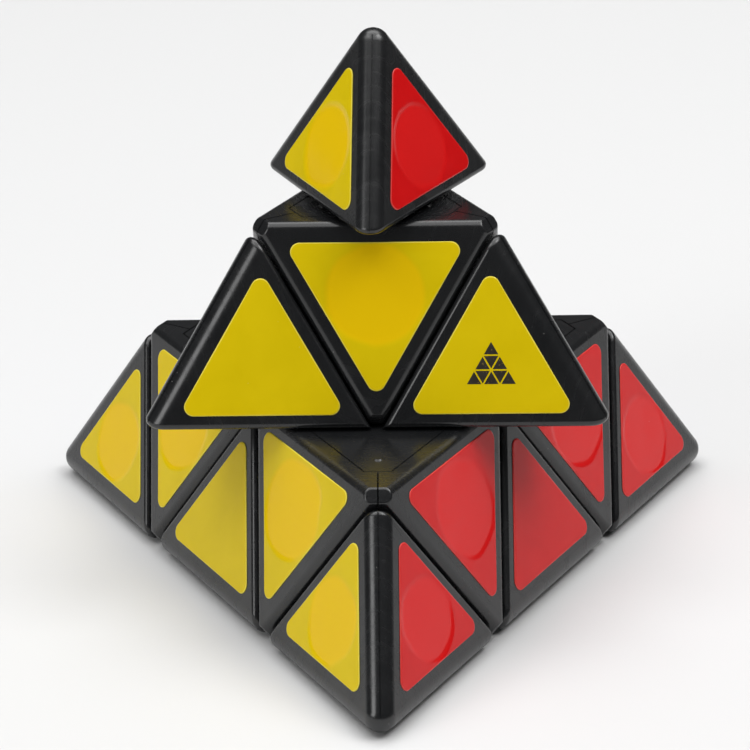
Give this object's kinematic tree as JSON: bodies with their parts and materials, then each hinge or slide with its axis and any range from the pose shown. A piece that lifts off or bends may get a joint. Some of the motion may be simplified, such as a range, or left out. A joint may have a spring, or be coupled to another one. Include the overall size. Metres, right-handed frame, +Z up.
{
  "type": "pyramid twisty puzzle",
  "caption": "Tetrahedral twisty puzzle with coloured triangular stickers on black plastic, shown with its upper layer turned and its top tip turned back square.",
  "frame": {"origin": "on the vertical axis through the top corner, in the plane of the bottom stickers that the puzzle stands on", "axes": "+Z up through the top corner; -Y towards the front lower corner; +X to the right seen from the front"},
  "size_m": [0.0976, 0.0929, 0.0811],
  "materials": {
    "black_plastic": "satin moulded ABS",
    "yellow_film": "glossy vinyl film",
    "red_film": "glossy vinyl film",
    "blue_film": "glossy vinyl film",
    "green_film": "glossy vinyl film",
    "core_nylon": "moulded nylon",
    "screw_steel": "zinc plated",
    "spring_steel": "bright spring wire"
  },
  "bodies": {
    "base_layer": {"core": "core_nylon", "pivot_screws": "screw_steel", "pivot_washers": "screw_steel", "pivot_springs": "spring_steel", "axial_front_body": "black_plastic", "axial_front_cap_green": "black_plastic", "axial_front_cap_red": "black_plastic", "axial_front_cap_yellow": "black_plastic", "axial_left_body": "black_plastic", "axial_left_cap_green": "black_plastic", "axial_left_cap_blue": "black_plastic", "axial_left_cap_yellow": "black_plastic", "axial_right_body": "black_plastic", "axial_right_cap_green": "black_plastic", "axial_right_cap_blue": "black_plastic", "axial_right_cap_red": "black_plastic", "edge_green_yellow_shell": "black_plastic", "edge_green_yellow_foot": "black_plastic", "edge_green_red_shell": "black_plastic", "edge_green_red_foot": "black_plastic", "edge_green_blue_shell": "black_plastic", "edge_green_blue_foot": "black_plastic", "base_films_green": "green_film", "base_films_blue": "blue_film", "base_films_red": "red_film", "base_films_yellow": "yellow_film"},
    "upper_layer": {"axial_top_body": "black_plastic", "axial_top_cap_blue": "black_plastic", "axial_top_cap_red": "black_plastic", "axial_top_cap_yellow": "black_plastic", "edge_red_yellow_shell": "black_plastic", "edge_red_yellow_foot": "black_plastic", "edge_blue_yellow_shell": "black_plastic", "edge_blue_yellow_foot": "black_plastic", "edge_blue_red_shell": "black_plastic", "edge_blue_red_foot": "black_plastic", "upper_films_blue": "blue_film", "upper_films_red": "red_film", "upper_films_yellow": "yellow_film"},
    "tip_top": {"tip_top_cap": "black_plastic", "tip_top_plug": "black_plastic", "tip_top_film_blue": "blue_film", "tip_top_film_red": "red_film", "tip_top_film_yellow": "yellow_film"},
    "tip_front": {"tip_front_cap": "black_plastic", "tip_front_plug": "black_plastic", "tip_front_film_green": "green_film", "tip_front_film_red": "red_film", "tip_front_film_yellow": "yellow_film"},
    "tip_left": {"tip_left_cap": "black_plastic", "tip_left_plug": "black_plastic", "tip_left_film_green": "green_film", "tip_left_film_blue": "blue_film", "tip_left_film_yellow": "yellow_film"},
    "tip_right": {"tip_right_cap": "black_plastic", "tip_right_plug": "black_plastic", "tip_right_film_green": "green_film", "tip_right_film_blue": "blue_film", "tip_right_film_red": "red_film"}
  },
  "joints": [
    {"name": "upper_layer_turn", "type": "hinge", "parent": "base_layer", "child": "upper_layer", "pos_m": [0, 0, 0.02158], "axis": [0, 0, 1], "continuous": true},
    {"name": "tip_top_turn", "type": "hinge", "parent": "upper_layer", "child": "tip_top", "pos_m": [0, 0, 0.02158], "axis": [0, 0, 1], "continuous": true},
    {"name": "tip_front_turn", "type": "hinge", "parent": "base_layer", "child": "tip_front", "pos_m": [0, 0, 0.02158], "axis": [0, -0.9428, -0.3333], "continuous": true},
    {"name": "tip_left_turn", "type": "hinge", "parent": "base_layer", "child": "tip_left", "pos_m": [0, 0, 0.02158], "axis": [-0.8165, 0.4714, -0.3333], "continuous": true},
    {"name": "tip_right_turn", "type": "hinge", "parent": "base_layer", "child": "tip_right", "pos_m": [0, 0, 0.02158], "axis": [0.8165, 0.4714, -0.3333], "continuous": true}
  ]
}
